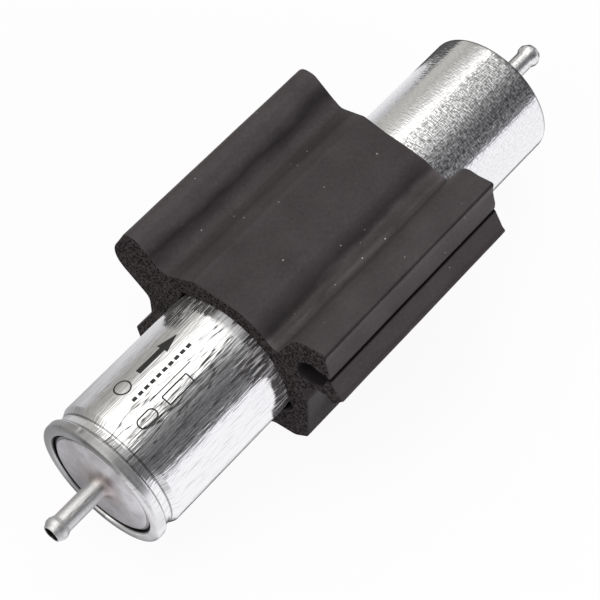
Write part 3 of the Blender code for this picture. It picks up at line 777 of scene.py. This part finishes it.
def is_inside(points, outline):
    """Which of the points lie inside the outline."""
    inside = np.zeros(len(points), bool)
    y, z = points[:, 0], points[:, 1]
    for (y0, z0), (y1, z1) in zip(outline, np.roll(outline, -1, axis=0)):
        crosses = (z0 > z) != (z1 > z)
        if crosses.any():
            at = y0 + (z - z0) * (y1 - y0) / (z1 - z0 if z1 != z0 else 1e-9)
            inside ^= crosses & (y < at)
    return inside


def search_tree(points):
    """A tree that finds the nearest of these (y, z) points."""
    tree = kdtree.KDTree(len(points))
    for i, (y, z) in enumerate(points):
        tree.insert((y, z, 0.0), i)
    tree.balance()
    return tree


def face_grid(outline, bore):
    """Jittered points spread over a cut end, inside the outline, outside the bore and clear of both."""
    low, high = outline.min(0), outline.max(0)
    places = [np.arange(low[0], high[0], FACE_SPACING), np.arange(low[1], high[1], FACE_SPACING * 0.87)]
    across, up = np.meshgrid(*places, indexing="ij")
    across[:, ::2] += FACE_SPACING / 2
    grid = np.stack([across.ravel(), up.ravel()], axis=1)
    grid += rng.uniform(-0.28, 0.28, grid.shape) * FACE_SPACING
    grid = grid[is_inside(grid, outline) & ~is_inside(grid, bore)]
    edges = search_tree(np.concatenate([outline, bore]))
    return np.array([point for point in grid if edges.find((*point, 0.0))[2] > FACE_SPACING * 0.6])


def cut_face(outline, bore):
    """Points between the outline and the bore, and triangles that fill a cut end.

    The triangles count the outline's points first, then the bore's, then those between them.
    """
    grid = face_grid(outline, bore)
    points = np.concatenate([outline, bore, grid])
    edges = []
    for start, count in ((0, len(outline)), (len(outline), len(bore))):
        edges += [(start + i, start + (i + 1) % count) for i in range(count)]
    found = geometry.delaunay_2d_cdt([Vector(point) for point in points.tolist()], edges, [], 0, 1e-6)
    source = [origins[0] for origins in found[3]]
    faces = np.array([[source[i] for i in face] for face in found[2]])
    centres = points[faces].mean(axis=1)
    faces = faces[is_inside(centres, outline) & ~is_inside(centres, bore)]
    a, b, c = points[faces[:, 0]], points[faces[:, 1]], points[faces[:, 2]]
    area = (b[:, 0] - a[:, 0]) * (c[:, 1] - a[:, 1]) - (b[:, 1] - a[:, 1]) * (c[:, 0] - a[:, 0])
    faces[area < 0] = faces[area < 0][:, ::-1]
    return grid, faces


def cell_depths(points):
    """How deep each point of a cut face lies in the sponge's open cells."""
    low, high = points.min(0), points.max(0)
    count = int(np.prod(high - low) / CELL_SIZE ** 2)
    centres = search_tree(rng.uniform(low, high, (count, 2)))
    near = np.array([centres.find((y, z, 0.0))[2] for y, z in points])
    return CELL_DEPTH * np.clip(1 - near / (CELL_SIZE * 0.55), 0.0, 1.0)


def far_cut(y):
    """How far the hand-cut +X end strays from its plane, at a place across the sleeve."""
    places = [-54.0, -47.0, -38.0, -23.0, -7.0, 4.0, 16.0, 32.0, 44.0, 54.0]
    strays = [0.6, 1.0, 0.6, 2.2, -1.4, -1.5, -0.8, 1.8, 0.6, 0.0]
    return float(np.interp(y, places, strays))


def along_sleeve(x, y):
    """x on the finished sleeve, whose +X end is a little skew and not quite straight."""
    return x + x / SLEEVE_LENGTH * (SLEEVE_END_SKEW * y + far_cut(y))


def sleeve_stations():
    """(place along the sleeve, how far its walls are drawn in there), with the edges of both ends rounded."""
    near = np.array([0.0, 0.12, 0.4, 1.0])
    stations = np.concatenate([near, np.arange(2.2, SLEEVE_LENGTH - 2.0, 1.5), SLEEVE_LENGTH - near[::-1]])
    from_end = np.minimum(stations, SLEEVE_LENGTH - stations)
    rounding = EDGE_ROUNDING * np.clip(1 - from_end / EDGE_REACH, 0.0, 1.0) ** 2
    return list(zip(stations, rounding))


def skin_point(x, point, normal, inset):
    """A vertex of the outer skin, which is slightly wavy everywhere but on the sole."""
    y, z = point
    if z > SOLE_Z + 0.6:
        swell = noise.noise((x * 0.035, y * 0.06, z * 0.06)) * 0.22
        ripple = noise.noise((x * 0.30, y * 0.22, z * 0.22)) * 0.07
        inset = inset + (SKIN_INSET + abs(swell) + 0.5 * abs(ripple))
    y -= normal[0] * inset
    z -= normal[1] * inset
    return along_sleeve(x, y), y, z


def wall_faces(start, count, rows, facing_out):
    """Faces between rows of points that run round a wall, the first row starting at this vertex."""
    faces = []
    for row in range(rows - 1):
        base = start + row * count
        for i in range(count):
            a, b = base + i, base + (i + 1) % count
            faces.append((a, a + count, b + count, b) if facing_out else (a, b, b + count, a + count))
    return faces


def build_sleeve(skin, core):
    """The extruded skin, the bore through it and the open cells of its two cut ends."""
    outline = np.array(resampled(sleeve_outline(), SKIN_SPACING))
    normals = outward(outline)
    bore = sleeve_bore()
    count, bore_count = len(outline), len(bore)
    stations = sleeve_stations()

    verts = []
    for x, inset in stations:
        verts += [skin_point(x, point, normal, inset) for point, normal in zip(outline, normals)]
    bore_start = len(verts)
    for x, inset in stations:
        verts += [(along_sleeve(x, y), y, z) for y, z in bore * (1 + inset / SLEEVE_BORE_RADIUS)]
    faces = wall_faces(0, count, len(stations), facing_out=True)
    faces += wall_faces(bore_start, bore_count, len(stations), facing_out=False)
    side_faces = len(faces)

    grid, fill = cut_face(outline - normals * EDGE_ROUNDING, bore * (1 + EDGE_ROUNDING / SLEEVE_BORE_RADIUS))
    for row in (0, len(stations) - 1):
        start = len(verts)
        for (y, z), pit in zip(grid, cell_depths(grid)):
            verts.append((along_sleeve(SLEEVE_LENGTH, y) - pit if row else pit, y, z))
        index = np.concatenate([
            row * count + np.arange(count),
            bore_start + row * bore_count + np.arange(bore_count),
            start + np.arange(len(grid)),
        ])
        cut = index[fill]
        faces += (cut if row else cut[:, ::-1]).tolist()

    slots = np.zeros(len(faces), np.int32)
    slots[side_faces:] = 1
    verts = np.array(verts) + (SLEEVE_X, 0.0, 0.0)
    sleeve = add_piece("rubber_sleeve", verts, faces, [skin, core], "sleeve_body",
                       slots, sharp=50.0)
    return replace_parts(sleeve, "mounting_sleeve")


# ---------------------------------------------------------------- printed marks

def on_can(x, across, radius):
    """A vertex at a distance round the can from its top."""
    angle = across / CAN_RADIUS
    return x, -radius * math.sin(angle), radius * math.cos(angle)


def mark_strip(stations, centre, rows=8):
    """A closed thin strip on the can from (x, half width) stations, for solid shapes such as an arrow."""
    verts, faces = [], []
    for radius in INK_RADII:
        for x, half in stations:
            verts += [on_can(x, centre + half * (2 * row / rows - 1), radius) for row in range(rows + 1)]
    wide = rows + 1
    layer = wide * len(stations)
    for i in range(len(stations) - 1):
        for row in range(rows):
            a = i * wide + row
            faces.append((a, a + wide, a + wide + 1, a + 1))
            faces.append((layer + a, layer + a + 1, layer + a + wide + 1, layer + a + wide))
    rim = [(i * wide, (i + 1) * wide) for i in range(len(stations) - 1)]
    rim += [(layer - wide + row, layer - wide + row + 1) for row in range(rows)]
    rim += [((i + 1) * wide + rows, i * wide + rows) for i in reversed(range(len(stations) - 1))]
    rim += [(row + 1, row) for row in reversed(range(rows))]
    faces += [(b, a, layer + a, layer + b) for a, b in rim]
    return verts, faces


def mark_frame(x, centre, length, width, corner, line):
    """A closed thin outline on the can: a blank frame with rounded corners."""
    def ring(grow):
        half_l, half_w = length / 2 + grow, width / 2 + grow
        corners = [(half_l, half_w), (-half_l, half_w), (-half_l, -half_w), (half_l, -half_w)]
        return rounded([(a, b, corner + grow) for a, b in corners], step=10.0)

    outlines = [ring(line / 2), ring(-line / 2)]
    count = len(outlines[0])
    verts, faces = [], []
    for radius in INK_RADII:
        for path in outlines:
            verts += [on_can(x + along, centre + across, radius) for along, across in path]
    for first, second in ((0, 1), (1, 3), (3, 2), (2, 0)):
        for i in range(count):
            j = (i + 1) % count
            faces.append((first * count + i, first * count + j, second * count + j, second * count + i))
    return verts, faces


def build_marks(ink):
    """A ring, a flow arrow, a rule, a row of dashes and two blank frames on the near part of the can."""
    ring = mark_frame(-90.4, -9.3, 6.2, 6.2, 3.0, 0.6)
    arrow = mark_strip([(-82.4, 1.2), (-70.0, 1.2), (-69.99, 2.7), (-62.3, 0.1)], -9.3)
    rule = mark_strip([(-89.1, 0.2), (-68.0, 0.2)], 2.4, rows=2)
    small_frame = mark_frame(-94.2, 6.2, 8.4, 4.2, 2.0, 0.55)
    long_frame = mark_frame(-78.7, 6.4, 12.4, 4.0, 0.3, 0.55)
    dash_starts = [-92.6 + 3.1 * i for i in range(10)]
    dashes = [mark_strip([(x, 0.7), (x + 2.0, 0.7)], -2.2, rows=3) for x in dash_starts]
    verts, faces = [], []
    for part_verts, part_faces in (ring, arrow, rule, small_frame, long_frame, *dashes):
        start = len(verts)
        verts += part_verts
        faces += [tuple(start + i for i in face) for face in part_faces]
    return add_piece("printed_marks", verts, faces, [ink], "filter_body")


# ---------------------------------------------------------------- studio

def stage_sheet(name, verts, faces, material):
    """A mesh of the studio, drawn in metres."""
    mesh = bpy.data.meshes.new(name)
    mesh.from_pydata(verts, [], faces)
    mesh.materials.append(material)
    sheet = bpy.data.objects.new(name, mesh)
    bpy.context.scene.collection.objects.link(sheet)
    return sheet


def hide_from(obj, *rays):
    """Hides an object from these kinds of rays."""
    for ray in rays:
        setattr(obj, "visible_" + ray, False)


def floor_sheet(name, z, material):
    """A square sheet of floor at this height."""
    corners = [(-1, -1), (1, -1), (1, 1), (-1, 1)]
    verts = [(FLOOR_HALF * x, FLOOR_HALF * y, z) for x, y in corners]
    return stage_sheet(name, verts, [(0, 1, 2, 3)], material)


def build_backdrop(material):
    """A plain dome over the floor that only the camera sees, so a low view shows no edge of the room."""
    verts = []
    for ring in range(BACKDROP_RINGS):
        height = math.sin(math.radians(90 * ring / BACKDROP_RINGS))
        reach = math.sqrt(1 - height ** 2)
        for side in range(BACKDROP_SIDES):
            angle = math.tau * side / BACKDROP_SIDES
            verts.append((reach * math.cos(angle), reach * math.sin(angle), height))
    verts.append((0.0, 0.0, 1.0))
    verts = np.array(verts) * FLOOR_HALF
    faces = []
    top = BACKDROP_RINGS * BACKDROP_SIDES
    for low in range(0, top, BACKDROP_SIDES):
        for side in range(BACKDROP_SIDES):
            a, b = low + side, low + (side + 1) % BACKDROP_SIDES
            if low + BACKDROP_SIDES < top:
                faces.append((a, a + BACKDROP_SIDES, b + BACKDROP_SIDES, b))
            else:
                faces.append((a, top, b))
    dome = stage_sheet("backdrop", verts.tolist(), faces, material)
    hide_from(dome, "diffuse", "glossy", "transmission", "volume_scatter", "shadow")


def light_table():
    """A pale table lit from within."""
    s = Shader("light_table", roughness=0.9)
    cloud = s.noise(s.position(), scale=0.004)
    return s.use(colour=s.tint(cloud, grey(0.05), grey(0.055)), glow=(1.0, 0.99, 1.0, 1.0), glow_level=0.93)


def reflected_table():
    """The table as polished metal sees it: dim on the +Y side, dark under the can and past a slanted edge."""
    s = Shader("light_table_reflected", roughness=1.0, colour=grey(0.0), gloss=0.0)
    x, y, _ = s.split(s.position())
    dim = s.times(
        s.curve(x, [(-120.0, 0.38), (-70.0, 0.50), (-40.0, 0.74), (110.0, 0.90)]),
        s.curve(y, [(60.0, 1.0), (113.0, 0.93), (225.0, 0.72), (570.0, 0.62)]),
    )
    edge = s.math("SUBTRACT", x, s.times(y, 0.58))
    dim = s.mix(s.ramp(edge, 93.0, 97.0), dim, 0.06)
    level = s.mix(s.ramp(y, -10.0, 45.0), s.ramp(x, -200.0, -140.0, 0.55, 1.0), dim)
    shadow = s.times(s.fall(s.away(y, 0.0), 24.0, 31.0, 0.90), s.ramp(x, -132.0, -118.0))
    return s.use(glow=(1.0, 0.99, 1.02, 1.0), glow_level=s.times(level, s.without(shadow)))


def build_floor():
    """A pale light table with a backdrop, and just under it the same table for reflections only."""
    pale = light_table()
    hide_from(floor_sheet("floor", 0.0, pale), "glossy")
    build_backdrop(pale)
    mirrored = floor_sheet("floor_in_reflections", REFLECTED_FLOOR_Z, reflected_table())
    hide_from(mirrored, "camera", "diffuse", "shadow")


def tent_colour(n, degrees):
    """The tent's levels round the axis, from (degrees from the top, growing towards -Y, colour) stops."""
    return n.colours(degrees, [
        (-180, (0.45, 0.44, 0.43)), (-92, (0.40, 0.39, 0.38)), (-72, (0.42, 0.41, 0.39)),
        (-62, (0.52, 0.51, 0.49)), (-52, (0.80, 0.79, 0.77)), (-44, (0.98, 0.97, 0.95)),
        (-24, (1.0, 0.99, 0.97)), (-17, (0.58, 0.58, 0.57)), (3, (0.50, 0.50, 0.49)),
        (14, (0.38, 0.38, 0.38)), (20, (0.33, 0.33, 0.33)), (26, (0.10, 0.10, 0.10)),
        (30, (0.26, 0.26, 0.26)), (35, (0.04, 0.04, 0.04)), (40, (0.18, 0.18, 0.19)),
        (46, (0.02, 0.02, 0.02)), (51, (0.12, 0.12, 0.13)), (57, (0.02, 0.02, 0.02)),
        (62, (0.16, 0.16, 0.17)), (68, (0.05, 0.05, 0.055)), (73, (0.20, 0.20, 0.21)),
        (79, (0.16, 0.16, 0.17)), (83, (1.02, 1.0, 1.05)), (180, (1.02, 1.0, 1.05)),
    ])


def build_world():
    """A light tent along X: levels round the axis, and a white strip at its top that narrows towards +X.

    Towards +X its low +Y side grows brighter and its upper +Y side dimmer. Its front has a bright stretch.
    """
    world = bpy.data.worlds.new("tent")
    bpy.context.scene.world = world
    world.use_nodes = True
    n = Nodes(world.node_tree)
    x, y, z = n.split(n.node("ShaderNodeTexCoord").outputs["Generated"])
    degrees = n.times(n.math("ARCTAN2", n.times(y, -1.0), z), 180 / math.pi)

    past_edge = n.math("SUBTRACT", degrees, n.ramp(x, 0.335, 0.52, 10.0, -24.0))
    strip = n.times(n.fall(past_edge, -4.0, 2.0), n.ramp(degrees, -47.0, -35.0))
    white = (STRIP_LEVEL, STRIP_LEVEL * 0.99, STRIP_LEVEL * 0.97, 1.0)

    low_side = n.times(n.fall(degrees, -60.0, -50.0), n.ramp(x, 0.335, 0.52, -0.2, 0.3))
    far_glow = n.times(n.ramp(x, 0.42, 0.46), n.ramp(x, 0.489, 0.505, 1.9, 0.3))
    far_glow = n.times(far_glow, n.ramp(x, 0.503, 0.513, 1.0, 0.1))
    front_side = n.times(n.band(degrees, -24.0, -16.0, 66.0, 76.0), far_glow)
    upper_side = n.times(n.band(degrees, -72.0, -64.0, -36.0, -28.0), n.ramp(x, 0.496, 0.517, 0.0, 0.42))
    gain = n.math("ADD", 1.0, n.math("ADD", low_side, front_side))
    colour = n.tint(strip, n.scaled(tent_colour(n, degrees), gain), white)
    n.feed(n.tree.nodes["Background"].inputs["Color"], n.scaled(colour, n.without(upper_side)))


def build_fill():
    """A large soft fill light on the -Y side, kept out of the metal's reflections."""
    data = bpy.data.lights.new("fill", "AREA")
    data.shape = "RECTANGLE"
    data.size = 0.9
    data.size_y = 0.6
    data.energy = FILL_POWER
    data.color = (1.0, 0.97, 1.05)
    fill = bpy.data.objects.new("fill", data)
    fill.location = FILL_PLACE
    fill.rotation_mode = "QUATERNION"
    fill.rotation_quaternion = fill.location.to_track_quat("Z", "Y")
    hide_from(fill, "glossy")
    bpy.context.scene.collection.objects.link(fill)


def build_camera():
    """A camera above the part, over its inlet end and its -Y side."""
    x, y, z = CAMERA_TARGET
    target = Vector((x, AXIS_Y + y, AXIS_Z + z)) * MM
    forward = Vector(CAMERA_FORWARD).normalized()
    data = bpy.data.cameras.new("camera")
    data.sensor_width = 36.0
    data.lens = CAMERA_LENS
    data.clip_start = 0.05
    data.clip_end = 20.0
    camera = bpy.data.objects.new("camera", data)
    camera.location = target - forward * CAMERA_DISTANCE * MM
    camera.rotation_mode = "QUATERNION"
    camera.rotation_quaternion = forward.to_track_quat("-Z", "Y")
    bpy.context.scene.collection.objects.link(camera)
    bpy.context.scene.camera = camera


def main():
    """Builds the looks and the studio."""
    bpy.context.scene.view_settings.view_transform = "Standard"
    build_camera()
    build_can(drawn_aluminium())
    build_cover(cover_aluminium())
    build_sleeve(sleeve_skin(), sleeve_core())
    build_marks(printed_ink())
    zinc = turned_metal("zinc_plated_steel", 0.50, 0.66, 0.34, 0.02)
    for node in ("spring_seat", "inlet_end_disc", "centre_tube", "outlet_end_disc"):
        repaint(node, zinc)
    repaint("preload_spring", turned_metal("spring_steel", 0.34, 0.48, 0.30))
    rubber = seal_rubber()
    repaint("cover_seal", rubber)
    repaint("outlet_seal", rubber)
    repaint("filter_pleats", resin_paper())
    repaint("outlet_strainer", white_nylon())
    build_floor()
    build_world()
    build_fill()


main()
